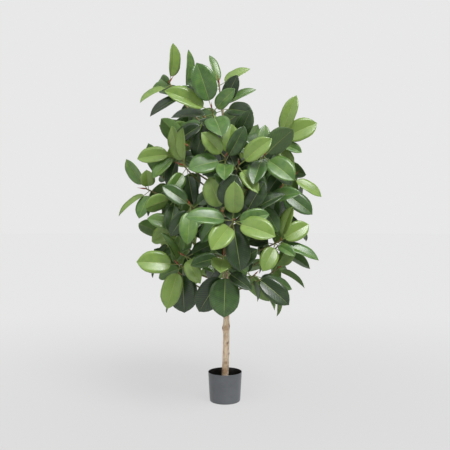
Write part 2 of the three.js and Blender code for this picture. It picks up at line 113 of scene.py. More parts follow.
# Rings where leaves are or were: how far they swell the stem, their width, and the older ones' spacing.
SCAR_SWELL = 0.16
SCAR_WIDTH = 3 * MM
SCAR_SPACING = (15 * MM, 24 * MM)
OLDER_SCARS = 6
# The bud runs into the stem's tip by its first length, and bows by up to its second.
BUD_SUNK = 2 * MM
BUD_BEND = 2 * MM
BUD_LENGTH = 56 * MM
BUD_RADIUS = 2.8 * MM
# The bud leans towards the young leaf's upper side: this is how much of the stem's own way it keeps.
BUD_KEEPS_WAY = 0.7

# Age of the leaves, youngest first: b is bright and young, m is middling, d is dark and k is the darkest.
# Leaves past the end of a shoot's list are the oldest.
AGES = {"b": 0.0, "m": 0.38, "d": 0.72, "k": 1.0}
OLDEST = "k"
AGE_SPREAD = 0.08
SHOOT_AGES = {
    "shoot_top_left": "bbmmm",
    "shoot_top_back_left": "mkdd",
    "shoot_top_front": "mbmmk",
    "shoot_top_right": "bmmd",
    "shoot_top_back_right": "mkkd",
    "shoot_upper_left": "kddd",
    "shoot_left_high": "bmkd",
    "shoot_left_high_inner": "bbmk",
    "shoot_far_left": "mbbmd",
    "shoot_left_low": "mkddd",
    "shoot_centre_high": "bbmmd",
    "shoot_right_high_inner": "bbdd",
    "shoot_right_inner": "ddd",
    "shoot_right_high": "mdkkmd",
    "shoot_right_top": "bbmbd",
    "shoot_right_mid": "bmbdd",
    "shoot_centre": "bmbbkm",
    "shoot_centre_left": "kbd",
    "shoot_centre_right": "kkd",
    "shoot_right_centre": "mdd",
    "shoot_far_right": "dmdd",
    "shoot_right_low": "bbmbm",
    "shoot_bottom_right": "kdmmd",
    "shoot_bottom_left": "bbmkm",
    "shoot_left_mid": "bmmm",
    "shoot_bottom_left_inner": "bmd",
    "shoot_mid_left": "mkdd",
    "shoot_inner_left": "kdd",
    "shoot_low_centre": "bdkd",
    "shoot_bottom_centre": "dkkd",
}
# What the ages of the other shoots are drawn from: round the sides and back, and in the crown's shade. The
# inner shoots draw the darker leaves, which is partly age and partly painted shade.
REAR_AGES = "bmmddk"
INNER_AGES_AND_SHADE = "ddkkk"

# Pot: the outer radius at its foot and its rim, as the frame has them.
POT_HEIGHT = 145 * MM
POT_RIM_RADIUS = 84 * MM
POT_BASE_RADIUS = 76 * MM
POT_WALL = 2.2 * MM
POT_FLOOR = 3 * MM
POT_SIDES = 96
# A turned piece starts and ends on a small flat disc about its axis.
MIDDLE_DISC_RADIUS = 20 * MM
# The foot's flat middle stands this far off the surface, inside the ring that the pot rests on.
POT_RAISED = 1.6 * MM
DRAIN_HOLES = 6
DRAIN_RADIUS = 5 * MM
DRAIN_CIRCLE_RADIUS = 48 * MM

# Soil: its level at the pot's wall and at the trunk, and the hole that the trunk stands in.
SOIL_GAP = 0.3 * MM
SOIL_BOTTOM = POT_FLOOR + SOIL_GAP
SOIL_SHOULDER = 6 * MM
SOIL_TOP = 95 * MM
SOIL_DOME = 4 * MM
SOIL_HOLE_RADIUS = 17.8 * MM
SOIL_HOLE_BOTTOM = 34.7 * MM
SOIL_SIDES = 72
SOIL_RINGS = 12
# Its unevenness, as [size of the lumps, height]. It stops this near to the wall and the hole.
SOIL_LUMPS = ((14 * MM, 2.2 * MM), (5 * MM, 1.2 * MM))
SOIL_EVEN_EDGE = 1 * MM
CRUMBS = 140
CRUMB_SIZE = (1.2 * MM, 3.6 * MM)
# The crumbs' tilt in radians, and how their length, width and height differ from their size.
CRUMB_TILT = (0, 0.5)
CRUMB_SHAPE = ((0.8, 1.6), (0.6, 1.0), (0.4, 0.7))
# No crumb lies nearer to the trunk or the wall than this.
CRUMB_EDGE = 5 * MM

# Trunk: its slow swellings, as [size, share of the radius], and how they stretch along it.
TRUNK_SIDES = 24
TRUNK_ROWS = 150
TRUNK_SWELLS = ((22 * MM, 0.07), (7 * MM, 0.035))
TRUNK_SWELL_GIRTH = 12 * MM
TRUNK_SWELL_STRETCH = 0.35
# It stands this much above its last ring, and is rounded off from there down to the second length. The
# flat middle of its top has this share of the radius.
TRUNK_CAP = 3 * MM
TRUNK_WORN_TOP = 9 * MM
TRUNK_TOP_SHARE = 0.35
# Knots of the trunk, as [height, turn from the front to the right, how far it stands out, size].
KNOTS = (
    (150 * MM, -50, 2.0 * MM, 10 * MM),
    (194 * MM, 12, 2.2 * MM, 8 * MM),
    (236 * MM, 70, 2.6 * MM, 11 * MM),
    (288 * MM, 25, 1.8 * MM, 8 * MM),
    (332 * MM, -18, 1.8 * MM, 7 * MM),
    (363 * MM, -82, 6.0 * MM, 15 * MM),
    (372 * MM, 74, 3.0 * MM, 13 * MM),
    (430 * MM, 20, 2.4 * MM, 9 * MM),
    (470 * MM, -70, 4.0 * MM, 14 * MM),
    (545 * MM, 150, 4.0 * MM, 13 * MM),
    (690 * MM, -150, 4.0 * MM, 13 * MM),
)
# The dark heart of a knot: how deep its shade is, and how much narrower it is than the knot.
KNOT_SHADE = 1.3
KNOT_NARROWER = 1.9

# Floor: its paint, the light that it gives near the plant and far away, and where that change lies.
FLOOR_RADIUS = 60
FLOOR_PAINT = "585858"
FLOOR_NEAR = "cacaca"
FLOOR_FAR = "d5d5d5"
FLOOR_PALES_FROM = 0.3
FLOOR_PALES_TO = 3.5

# Room: the strength of its light at the horizon and overhead, its colour, and how the wall is seen.
ROOM_AT_HORIZON = 0.06
ROOM_OVERHEAD = 0.8
ROOM_LIGHT = "f4f4f4"
ROOM_WALL = "e8e8e8"

# Where the lights' lamps are drawn. The light itself comes from far away.
LIGHT_DISTANCE = 5

# Camera: level, in front, at half the plant's height.
CAMERA_PLACE = (0, -2.885, 0.8756)
CAMERA_LENS_MM = 46.2
CAMERA_SENSOR_MM = 36


# ---------------------------------------------------------------------------------------- modelling tools


def only(piece):
    """Makes a piece the only one selected, and the active one."""
    bpy.ops.object.select_all(action="DESELECT")
    piece.select_set(True)
    bpy.context.view_layer.objects.active = piece


def start(name, primitive, **settings):
    """Adds a primitive with its settings and names it."""
    bpy.ops.object.select_all(action="DESELECT")
    primitive(**settings)
    piece = bpy.context.active_object
    piece.name = name
    piece.data.name = name
    return piece


def pick(piece, wanted):
    """Selects, in edit mode, the corners whose place is wanted, with the edges and faces between them."""
    bm = bmesh.from_edit_mesh(piece.data)
    bpy.ops.mesh.select_all(action="DESELECT")
    for corner in bm.verts:
        corner.select = wanted(corner.co)
    bm.select_mode = {"VERT"}
    bm.select_flush_mode()
    bmesh.update_edit_mesh(piece.data)


def apply_modifiers(piece):
    """Applies a piece's modifiers in their order."""
    only(piece)
    for modifier in list(piece.modifiers):
        bpy.ops.object.modifier_apply(modifier=modifier.name)


# ------------------------------------------------------------------------------------ reading the frame


def corners_of(node):
    """A node's corners, and for each one the numbers of those that it shares an edge with."""
    bm = bmesh.new()
    bm.from_mesh(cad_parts[node].data)
    bmesh.ops.remove_doubles(bm, verts=bm.verts, dist=0.01 * MM)
    bm.verts.index_update()
    places = [corner.co.copy() for corner in bm.verts]
    beside = [[edge.other_vert(corner).index for edge in corner.link_edges] for corner in bm.verts]
    bm.free()
    return places, beside


def trunk_rings():
    """The trunk's rings, lowest first, as [height, centre, radius]."""
    places, _ = corners_of("trunk")
    levels = {}
    for place in places:
        levels.setdefault(round(place.z / MM, 1), []).append(place)
    rings = []
    for level in sorted(levels):
        ring = levels[level]
        if len(ring) > 2:
            centre = sum(ring, Vector()) / len(ring)
            rings.append((centre.z, centre, max((place - centre).length for place in ring)))
    return rings


TRUNK = trunk_rings()


def trunk_at(z):
    """The trunk's centre and radius at a height."""
    if z <= TRUNK[0][0]:
        return TRUNK[0][1], TRUNK[0][2]
    for low, high in zip(TRUNK, TRUNK[1:]):
        if z <= high[0]:
            share = (z - low[0]) / (high[0] - low[0])
            return low[1].lerp(high[1], share), low[2] + (high[2] - low[2]) * share
    return TRUNK[-1][1], TRUNK[-1][2]


class Blade:
    """Where one leaf lies: its midrib from neck to tip, its upper side and its width."""

    def __init__(self, tip, rows):
        # A row's two edges are further apart than either is from its midrib.
        spans = []
        for row in rows:
            pairs = [(row[i], row[(i + 1) % 3], row[(i + 2) % 3]) for i in range(3)]
            spans.append(max(pairs, key=lambda pair: (pair[0] - pair[1]).length))
        self.neck = (spans[-1][0] + spans[-1][1]) / 2
        self.tip = tip
        left, right, keel = spans[WIDEST_ROW]
        self.width = (right - left).length
        along = (tip - self.neck).normalized()
        over = along.cross(right - left).normalized()
        if over.dot((left + right) / 2 - keel) < 0:
            over.negate()
        share = ROW_SHARES[WIDEST_ROW]
        rise = ((left + right) / 2 - self.neck.lerp(tip, share)).dot(over)
        self.rise = rise / (4 * share * (1 - share))
        self.over = over
        self.side = along.cross(over)
        self.length = (tip - self.neck).length
        self.root = self.neck - self.way(0) * self.length * STALK_SHARE

    def middle(self, share):
        """The midrib's place at a share of the length."""
        return self.neck.lerp(self.tip, share) + self.over * self.rise * 4 * share * (1 - share)

    def way(self, share):
        """The way that the midrib runs there."""
        return (self.tip - self.neck + self.over * self.rise * 4 * (1 - 2 * share)).normalized()

    def up(self, share):
        """The way that the upper side looks there."""
        return self.side.cross(self.way(share))


def read_shoot(node):
    """A shoot's leaves, youngest first, and its stem's line as the three points of a curve."""
    places, beside = corners_of(node)
    leaves = []
    used = set()
    for number, place in enumerate(places):
        near = [places[i] for i in beside[number]]
        if len(near) != 3 or min((a - place).length for a in near) < NEAREST_TO_TIP:
            continue
        seen = {number}
        last = {number}
        rows = []
        for _ in ROW_SHARES:
            last = {i for corner in last for i in beside[corner]} - seen
            seen |= last
            rows.append([places[i] for i in last])
        if all(len(row) == 3 for row in rows):
            leaves.append(Blade(place, rows))
            used |= seen
    wood = [place for number, place in enumerate(places) if number not in used]

    def off_trunk(place):
        return (place - trunk_at(place.z)[0]).to_2d().length

    nearest = min(off_trunk(place) for place in wood)
    foot_ring = [place for place in wood if off_trunk(place) < nearest + STEM_FOOT_DEPTH]
    foot = sum(foot_ring, Vector()) / len(foot_ring)
    leaves.sort(key=lambda leaf: (leaf.root - foot).length, reverse=True)
    end = leaves[0].root + (leaves[0].root - leaves[1].root).normalized() * FIRST_LEAF
    out = (end - foot).to_2d().to_3d()
    bend = foot + out.normalized() * (out.length + off_trunk(foot)) / 2
    bend.z = foot.z + (end.z - foot.z) * STEM_RISE
    return leaves, (foot, bend, end)


def on_curve(points, share):
    """A place on a curve of three points, and the way it runs there."""
    a, b, c = points
    place = a.lerp(b, share).lerp(b.lerp(c, share), share)
    way = (b - a).lerp(c - b, share).normalized()
    return place, way


# --------------------------------------------------------------------------------------------- materials


def hex_colour(code):
    """A colour written as sRGB hex, made linear."""
    parts = [int(code[i : i + 2], 16) / 255 for i in (0, 2, 4)]
    linear = [p / 12.92 if p <= 0.04045 else ((p + 0.055) / 1.055) ** 2.4 for p in parts]
    return (*linear, 1)


def add(tree, kind, values=(), links=(), **settings):
    """Adds a node with its settings, the values of its sockets and the links into them."""
    made = tree.nodes.new(kind)
    for name, value in settings.items():
        setattr(made, name, value)
    for socket, value in dict(values).items():
        made.inputs[socket].default_value = value
    for socket, source in dict(links).items():
        tree.links.new(source, made.inputs[socket])
    return made


def new_material(name):
    """An empty node material: its tree and its principled shader."""
    material = bpy.data.materials.new(name)
    material.use_nodes = True
    tree = material.node_tree
    return material, tree, tree.nodes["Principled BSDF"]


def waxy_blade(name, young, middling, old, vein, roughness, vein_shows, coat):
    """A rubber plant's blade: a waxy skin, greener and bluer as it ages, with a pale midrib, fine side
    veins that run out from it at a slant, and a thin pale margin."""
    material, tree, skin = new_material(name)
    age = add(tree, "ShaderNodeAttribute", attribute_name="age").outputs["Fac"]
    across = add(tree, "ShaderNodeAttribute", attribute_name="across").outputs["Fac"]
    along = add(tree, "ShaderNodeAttribute", attribute_name="along").outputs["Fac"]
    place = add(tree, "ShaderNodeTexCoord").outputs["Object"]
    # Mottling of the green, in patches about 25 mm wide.
    patches = add(
        tree, "ShaderNodeTexNoise", {"Scale": 1 / (25 * MM), "Detail": 3.0}, {"Vector": place}
    ).outputs["Fac"]
    nudged = add(
        tree,
        "ShaderNodeMapRange",
        {"From Min": 0.3, "From Max": 0.7, "To Min": -0.12, "To Max": 0.12},
        {"Value": patches},
    ).outputs["Result"]
    mottled = add(tree, "ShaderNodeMath", links={0: age, 1: nudged}, operation="ADD").outputs[0]
    early = add(tree, "ShaderNodeMapRange", {"From Min": 0.0, "From Max": 0.45}, {"Value": mottled})
    late = add(tree, "ShaderNodeMapRange", {"From Min": 0.4, "From Max": 1.0}, {"Value": mottled})
    green = add(
        tree,
        "ShaderNodeMix",
        {6: hex_colour(young), 7: hex_colour(middling)},
        {0: early.outputs["Result"]},
        data_type="RGBA",
    ).outputs[2]
    green = add(
        tree, "ShaderNodeMix", {7: hex_colour(old)}, {0: late.outputs["Result"], 6: green}, data_type="RGBA"
    ).outputs[2]
    # Side veins: the distance from the midrib slants the lines towards the tip.
    out = add(tree, "ShaderNodeMath", links={0: across}, operation="ABSOLUTE").outputs[0]
    slant = add(tree, "ShaderNodeMath", {1: -VEIN_SLANT}, {0: out}, operation="MULTIPLY").outputs[0]
    slanted = add(tree, "ShaderNodeMath", links={0: slant, 1: along}, operation="ADD").outputs[0]
    turn = add(
        tree, "ShaderNodeMath", {1: SIDE_VEINS * math.tau}, {0: slanted}, operation="MULTIPLY"
    ).outputs[0]
    wave = add(tree, "ShaderNodeMath", links={0: turn}, operation="COSINE").outputs[0]
    side_vein = add(
        tree,
        "ShaderNodeMapRange",
        {"From Min": 0.8, "From Max": 1.0, "To Max": 0.3 * vein_shows},
        {"Value": wave},
        interpolation_type="SMOOTHSTEP",
    ).outputs["Result"]
    # The midrib thins towards the tip.
    midrib_edge = add(
        tree, "ShaderNodeMapRange", {"To Min": 0.04, "To Max": 0.015}, {"Value": along}
    ).outputs["Result"]
    inside = add(tree, "ShaderNodeMath", links={0: out, 1: midrib_edge}, operation="DIVIDE").outputs[0]
    midrib = add(
        tree,
        "ShaderNodeMapRange",
        {"From Min": 0.5, "From Max": 1.0, "To Min": 1.0, "To Max": 0.0},
        {"Value": inside},
        interpolation_type="SMOOTHSTEP",
    ).outputs["Result"]
    margin = add(
        tree, "ShaderNodeMapRange", {"From Min": 0.95, "From Max": 1.0, "To Max": 0.35}, {"Value": out}
    ).outputs["Result"]
    pale = add(tree, "ShaderNodeMath", links={0: side_vein, 1: margin}, operation="MAXIMUM").outputs[0]
    pale = add(tree, "ShaderNodeMath", links={0: pale, 1: midrib}, operation="MAXIMUM").outputs[0]
    pale = add(tree, "ShaderNodeMath", {1: vein_shows}, {0: pale}, operation="MULTIPLY").outputs[0]
    colour = add(
        tree, "ShaderNodeMix", {7: hex_colour(vein)}, {0: pale, 6: green}, data_type="RGBA"
    ).outputs[2]
    tree.links.new(colour, skin.inputs["Base Color"])
    # The wax is uneven, in streaks a few millimetres wide.
    wax = add(
        tree, "ShaderNodeTexNoise", {"Scale": 1 / (9 * MM), "Detail": 4.0}, {"Vector": place}
    ).outputs["Fac"]
    uneven = add(
        tree, "ShaderNodeMapRange", {"To Min": roughness - 0.06, "To Max": roughness + 0.1}, {"Value": wax}
    ).outputs["Result"]
    tree.links.new(uneven, skin.inputs["Roughness"])
    skin.inputs["Coat Weight"].default_value = coat
    skin.inputs["Coat Roughness"].default_value = 0.22
    # The quilting between the side veins, and the groove of the midrib.
    groove = add(tree, "ShaderNodeMath", {1: 1.6}, {0: midrib}, operation="MULTIPLY").outputs[0]
    lifted = add(tree, "ShaderNodeMath", links={0: wave, 1: groove}, operation="SUBTRACT").outputs[0]
    bump = add(
        tree, "ShaderNodeBump", {"Strength": 0.25, "Distance": 0.5 * MM}, {"Height": lifted}
    ).outputs["Normal"]
    tree.links.new(bump, skin.inputs["Normal"])
    return material


def green_wood(name, base, flecked, roughness, grain):
    """Fresh stalk, twig or bud sheath: a satin skin with small flecks of another colour."""
    material, tree, skin = new_material(name)
    place = add(tree, "ShaderNodeTexCoord").outputs["Object"]
    flecks = add(
        tree, "ShaderNodeTexNoise", {"Scale": 1 / grain, "Detail": 4.0}, {"Vector": place}
    ).outputs["Fac"]
    share = add(tree, "ShaderNodeMapRange", {"From Min": 0.35, "From Max": 0.65}, {"Value": flecks})
    colour = add(
        tree,
        "ShaderNodeMix",
        {6: hex_colour(base), 7: hex_colour(flecked)},
        {0: share.outputs["Result"]},
        data_type="RGBA",
    ).outputs[2]
    tree.links.new(colour, skin.inputs["Base Color"])
    skin.inputs["Roughness"].default_value = roughness
    bump = add(tree, "ShaderNodeBump", {"Strength": 0.3, "Distance": 0.4 * MM}, {"Height": flecks})
    tree.links.new(bump.outputs["Normal"], skin.inputs["Normal"])
    return material


def peeled_trunk():
    """A peeled and dried wooden pole: pale tan, with grain stretched along it, grey-brown weathering
    and darker knots where side shoots were cut off."""
    material, tree, skin = new_material("peeled_dried_wood")
    place = add(tree, "ShaderNodeTexCoord").outputs["Object"]
    stretched = add(tree, "ShaderNodeMapping", {"Scale": (1, 1, 0.12)}, {"Vector": place}).outputs[0]
    grain = add(
        tree, "ShaderNodeTexNoise", {"Scale": 1 / (3 * MM), "Detail": 5.0}, {"Vector": stretched}
    ).outputs["Fac"]
    blotches = add(
        tree, "ShaderNodeTexNoise", {"Scale": 1 / (30 * MM), "Detail": 5.0}, {"Vector": place}
    ).outputs["Fac"]
    knot = add(tree, "ShaderNodeAttribute", attribute_name="knot").outputs["Fac"]
    streak = add(tree, "ShaderNodeMapRange", {"From Min": 0.38, "From Max": 0.66}, {"Value": grain})
    wood = add(
        tree,
        "ShaderNodeMix",
        {6: hex_colour("fbe9cf"), 7: hex_colour("dcb892")},
        {0: streak.outputs["Result"]},
        data_type="RGBA",
    ).outputs[2]
    weather = add(
        tree, "ShaderNodeMapRange", {"From Min": 0.46, "From Max": 0.62, "To Max": 0.75}, {"Value": blotches}
    )
    wood = add(
        tree,
        "ShaderNodeMix",
        {7: hex_colour("c09a72")},
        {0: weather.outputs["Result"], 6: wood},
        data_type="RGBA",
    ).outputs[2]
    wood = add(
        tree, "ShaderNodeMix", {7: hex_colour("6a4228")}, {0: knot, 6: wood}, data_type="RGBA"
    ).outputs[2]
    tree.links.new(wood, skin.inputs["Base Color"])
    skin.inputs["Roughness"].default_value = 0.72
    bump = add(tree, "ShaderNodeBump", {"Strength": 0.5, "Distance": 0.6 * MM}, {"Height": grain})
    tree.links.new(bump.outputs["Normal"], skin.inputs["Normal"])
    return material


def moulded_pot(name, fresh, scuffed):
    """Injection-moulded polypropylene, dark grey, with a satin skin, very fine texture and faint scuffs."""
    material, tree, skin = new_material(name)
    place = add(tree, "ShaderNodeTexCoord").outputs["Object"]
    dust = add(
        tree, "ShaderNodeTexNoise", {"Scale": 1 / (30 * MM), "Detail": 5.0}, {"Vector": place}
    ).outputs["Fac"]
    share = add(
        tree, "ShaderNodeMapRange", {"From Min": 0.4, "From Max": 0.75, "To Max": 0.5}, {"Value": dust}
    )
    colour = add(
        tree,
        "ShaderNodeMix",
        {6: hex_colour(fresh), 7: hex_colour(scuffed)},
        {0: share.outputs["Result"]},
        data_type="RGBA",
    ).outputs[2]
    tree.links.new(colour, skin.inputs["Base Color"])
    rough = add(tree, "ShaderNodeMapRange", {"To Min": 0.26, "To Max": 0.38}, {"Value": dust})
    tree.links.new(rough.outputs["Result"], skin.inputs["Roughness"])
    skin.inputs["IOR"].default_value = 1.49
    stipple = add(
        tree, "ShaderNodeTexNoise", {"Scale": 1 / (1.2 * MM), "Detail": 2.0}, {"Vector": place}
    ).outputs["Fac"]
    bump = add(tree, "ShaderNodeBump", {"Strength": 0.08, "Distance": 0.2 * MM}, {"Height": stipple})
    tree.links.new(bump.outputs["Normal"], skin.inputs["Normal"])
    return material


def potting_mix():
    """Peat and composted bark: nearly black when damp, brown where it has dried, rough all over."""
    material, tree, skin = new_material("peat_and_bark_mix")
    place = add(tree, "ShaderNodeTexCoord").outputs["Object"]
    grains = add(
        tree, "ShaderNodeTexVoronoi", {"Scale": 1 / (4 * MM)}, {"Vector": place}
    ).outputs["Color"]
    damp = add(
        tree, "ShaderNodeTexNoise", {"Scale": 1 / (22 * MM), "Detail": 5.0}, {"Vector": place}
    ).outputs["Fac"]
    grey = add(tree, "ShaderNodeSeparateColor", links={0: grains}).outputs[0]
    mixed = add(tree, "ShaderNodeMath", links={0: grey, 1: damp}, operation="MULTIPLY").outputs[0]
    share = add(tree, "ShaderNodeMapRange", {"From Min": 0.1, "From Max": 0.6}, {"Value": mixed})
    colour = add(
        tree,
        "ShaderNodeMix",
        {6: hex_colour("1f1712"), 7: hex_colour("4b3829")},
        {0: share.outputs["Result"]},
        data_type="RGBA",
    ).outputs[2]
    tree.links.new(colour, skin.inputs["Base Color"])
    skin.inputs["Roughness"].default_value = 0.95
    bump = add(tree, "ShaderNodeBump", {"Strength": 0.6, "Distance": 1.0 * MM}, {"Height": mixed})
    tree.links.new(bump.outputs["Normal"], skin.inputs["Normal"])
    return material


BLADE_TOP = waxy_blade(
    "waxy_leaf_top",
    young="7d9a46",
    middling="4d7434",
    old="1a3414",
    vein="a8b86c",
    roughness=0.34,
    vein_shows=0.65,
    coat=0.45,
)
BLADE_UNDER = waxy_blade(
    "matte_leaf_underside",
    young="88a34e",
    middling="64863f",
    old="4a6636",
    vein="a9b077",
    roughness=0.48,
    vein_shows=0.7,
    coat=0.0,
)
STALK = green_wood("green_leaf_stalk", "6d7c3c", "8b9550", roughness=0.45, grain=6 * MM)
PEELED_TRUNK = peeled_trunk()
MOULDED_POT = moulded_pot("moulded_polypropylene", "5f6266", "6c6f73")
# The inside of the pot's wall: the same moulding in near-black, as painted shade where the light falls off
# inside the pot.
POT_INSIDE_SHADE = moulded_pot("polypropylene_inside_painted_shade", "232221", "2f2d2b")
POTTING_MIX = potting_mix()
TWIG = green_wood("green_brown_twig_bark", "6b6a3c", "8a7a52", roughness=0.6, grain=5 * MM)
BUD = green_wood("red_bud_sheath", "a04535", "b96a4c", roughness=0.4, grain=8 * MM)


# ------------------------------------------------------------------------------------------ master shapes


def master_blade():
    """One flat blade, a unit long and a unit wide, whose height is in metres: a grid whose rows are moved
    and drawn in to the outline, creased along its midrib and thickened into a closed sheet."""
    rows = len(OUTLINE) - 1
    # A row that is done waits this far off, out of the way of the rows that are still to be picked.
    aside = 2
    blade = start(
        "blade",
        bpy.ops.mesh.primitive_grid_add,
        x_subdivisions=BLADE_COLUMNS,
        y_subdivisions=rows,
        size=1,
        location=(0, 0.5, 0),
    )
    only(blade)
    bpy.ops.object.transform_apply(location=True)
    bpy.ops.object.mode_set(mode="EDIT")
    for number, (share, width) in enumerate(OUTLINE):
        row = number / rows
        pick(blade, lambda place: abs(place.y - row) < 0.002)
        bpy.ops.transform.resize(value=(width, 1, 1), center_override=(0, row, 0))
        bpy.ops.transform.translate(value=(0, share - row + aside, 0))
    pick(blade, lambda place: True)
    bpy.ops.transform.translate(value=(0, -aside, 0))
    bpy.ops.mesh.select_mode(type="EDGE")
    pick(blade, lambda place: abs(place.x) < 0.001)
    bpy.ops.mesh.mark_sharp()
    bpy.ops.mesh.select_mode(type="VERT")
    bpy.ops.object.mode_set(mode="OBJECT")
    sheet = blade.modifiers.new("sheet", "SOLIDIFY")
    sheet.thickness = BLADE_THICKNESS
    sheet.offset = -1
    sheet.material_offset = 1
    sheet.material_offset_rim = 1
    blade.data.materials.append(BLADE_TOP)
    blade.data.materials.append(BLADE_UNDER)
    apply_modifiers(blade)
    return blade


def master_rod(name, sides, rows, material):
    """One straight closed rod, a unit long and a unit in radius, extruded ring by ring."""
    rod = start(
        name,
        bpy.ops.mesh.primitive_cylinder_add,
        vertices=sides,
        radius=1,
        depth=1 / rows,
        location=(0, 0, 0.5 / rows),
    )
    only(rod)
    bpy.ops.object.transform_apply(location=True)
    bpy.ops.object.mode_set(mode="EDIT")
    for row in range(1, rows):
        pick(rod, lambda place: place.z > (row - 0.5) / rows)
        bpy.ops.mesh.extrude_region_move(TRANSFORM_OT_translate={"value": (0, 0, 1 / rows)})
    bpy.ops.object.mode_set(mode="OBJECT")
    rod.data.materials.append(material)
    return rod


MASTER_BLADE = master_blade()
MASTER_STALK = master_rod("stalk", 6, 12, STALK)
MASTER_STEM = master_rod("stem", 8, 30, TWIG)
MASTER_BUD = master_rod("bud", 6, 7, BUD)


# ------------------------------------------------------------------------------------------------ shoots


class Growth:
    """One shoot's mesh while it grows: every copy of a master shape that has been laid so far."""

    def __init__(self):
        self.bm = bmesh.new()
        self.layers = {key: self.bm.verts.layers.float.new(key) for key in ("age", "across", "along")}
        self.materials = [BLADE_TOP, BLADE_UNDER, STALK, TWIG, BUD]

    def lay(self, master, bend, values):
        """Adds a copy of a master shape, with bend(place) for its corners and values(place) for their
        age, share across and share along."""
        count = len(self.bm.verts)
        faces = len(self.bm.faces)
        self.bm.from_mesh(master.data)
        self.bm.verts.ensure_lookup_table()
        self.bm.faces.ensure_lookup_table()
        for corner in self.bm.verts[count:]:
            shares = values(corner.co)
            for key, value in shares.items():
                corner[self.layers[key]] = value
            corner.co = bend(corner.co)
        for face in self.bm.faces[faces:]:
            own = master.data.materials[face.material_index]
            face.material_index = self.materials.index(own)
            face.smooth = True

    def finish(self, name):
        """Makes the mesh an object."""
        mesh = bpy.data.meshes.new(name)
        self.bm.to_mesh(mesh)
        self.bm.free()
        for material in self.materials:
            mesh.materials.append(material)
        piece = bpy.data.objects.new(name, mesh)
        bpy.context.scene.collection.objects.link(piece)
        return piece


def grow_leaf(growth, leaf, age, chance):
    """Lays one blade, and its stalk, which runs on under the blade as the midrib."""
    fold = math.radians(chance.uniform(*FOLD_DEGREES))
    wave = chance.uniform(*WAVE_HEIGHT)
    waves = chance.uniform(*WAVE_COUNT)
    phase = chance.uniform(0, math.tau)
    twist = math.radians(chance.uniform(*TWIST_DEGREES))
    sag = leaf.width * FOLD_DEPTH * math.sin(fold)

    def on_blade(place):
        share = place.y
        turn = twist * (share - TWIST_FROM)
        up = leaf.up(share)
        side = leaf.side * math.cos(turn) + up * math.sin(turn)
        over = up * math.cos(turn) - leaf.side * math.sin(turn)
        out = abs(place.x) * leaf.width
        curl = out * math.sin(fold) * (1 - FOLD_EASES * out / (leaf.width / 2)) - sag
        # The waves grow towards the edge, and die out at the neck and at the tip.
        ripple = wave * math.sin(waves * math.tau * share + phase + (WAVE_SHIFT if place.x > 0 else 0))
        lift = place.z + curl + ripple * (2 * abs(place.x)) ** 2 * math.sin(math.pi * min(1, share * 1.1))
        across = math.copysign(out * math.cos(fold), place.x)
        return leaf.middle(share) + side * across + over * lift

    def blade_values(place):
        width = next(w for s, w in reversed(OUTLINE) if s <= place.y + 0.0001)
        return {"age": age, "across": 2 * place.x / width, "along": place.y}

    growth.lay(MASTER_BLADE, on_blade, blade_values)

    def on_stalk(place):
        share = place.z
        swell = 1 + STALK_SWELL * max(0, 1 - share / STALK_SWELL_END)
        if share < STALK_PART:
            part = share / STALK_PART
            up = leaf.up(0)
            middle = leaf.root.lerp(leaf.neck, part)
            middle -= up * (STALK_SAG * math.sin(math.pi * part) + sag * part)
            radius = STALK_RADIUS * swell
        else:
            part = (share - STALK_PART) / (1 - STALK_PART)
            at = part * MIDRIB_END
            radius = MIDRIB_RADII[0] + (MIDRIB_RADII[1] - MIDRIB_RADII[0]) * part
            up = leaf.up(at)
            middle = leaf.middle(at) - up * (sag + BLADE_THICKNESS + 0.35 * radius)
        # Side, up and along are a left-handed set, so the side is turned round: faces stay outward.
        return middle - leaf.side * place.x * radius + up * place.y * radius

    growth.lay(MASTER_STALK, on_stalk, lambda place: {"age": age, "along": place.z})


def grow_stem(growth, curve, leaves, chance):
    """Lays the stem, with a collar at the trunk and a scar ring at each leaf and where older ones fell,
    and the bud sheath at its tip."""
    foot, bend, end = curve
    steps = 20
    line = [on_curve(curve, i / steps)[0] for i in range(steps + 1)]
    length = sum((after - before).length for before, after in zip(line, line[1:]))
    scars = [(leaf.root - foot).length / (end - foot).length for leaf in leaves]
    older = chance.uniform(*SCAR_SPACING) / length
    scars += [scars[-1] - older * (i + 1) for i in range(OLDER_SCARS)]

    def frame_on(share):
        middle, way = on_curve(curve, share)
        side = UP.cross(way).normalized()
        return middle, way, side, way.cross(side)

    def on_stem(place):
        share = place.z
        middle, way, side, over = frame_on(share)
        if share < 0.001:
            middle = middle - way * STEM_SUNK
        collar = COLLAR_SWELL * math.exp(-share * length / COLLAR_LENGTH)
        ring = sum(math.exp(-(((share - scar) * length / SCAR_WIDTH) ** 2)) for scar in scars)
        radius = STEM_BASE_RADIUS + (STEM_TIP_RADIUS - STEM_BASE_RADIUS) * share
        radius *= 1 + collar + SCAR_SWELL * ring
        return middle + side * place.x * radius + over * place.y * radius

    growth.lay(MASTER_STEM, on_stem, lambda place: {"along": place.z})
    tip, way, side, over = frame_on(1)
    bow_aside = chance.uniform(-BUD_BEND, BUD_BEND)
    bow_over = chance.uniform(-BUD_BEND, BUD_BEND)
    bow = over * bow_over - side * bow_aside
    # The bud stands on the upper side of the youngest leaf.
    bud_way = (way * BUD_KEEPS_WAY + leaves[0].over).normalized()
    side = UP.cross(bud_way).normalized()
    over = bud_way.cross(side)

    def on_bud(place):
        share = place.z
        # The sheath is fullest in its lower half and ends in a point.
        body = (1 - share) ** 0.6 * (1 + 0.7 * math.sin(math.pi * min(1, share * 1.6)))
        middle = tip + bud_way * (BUD_LENGTH * share - BUD_SUNK) + bow * 4 * share * (1 - share)
        radius = BUD_RADIUS * max(0.06, body)
        return middle + side * place.x * radius + over * place.y * radius

    growth.lay(MASTER_BUD, on_bud, lambda place: {"along": place.z})


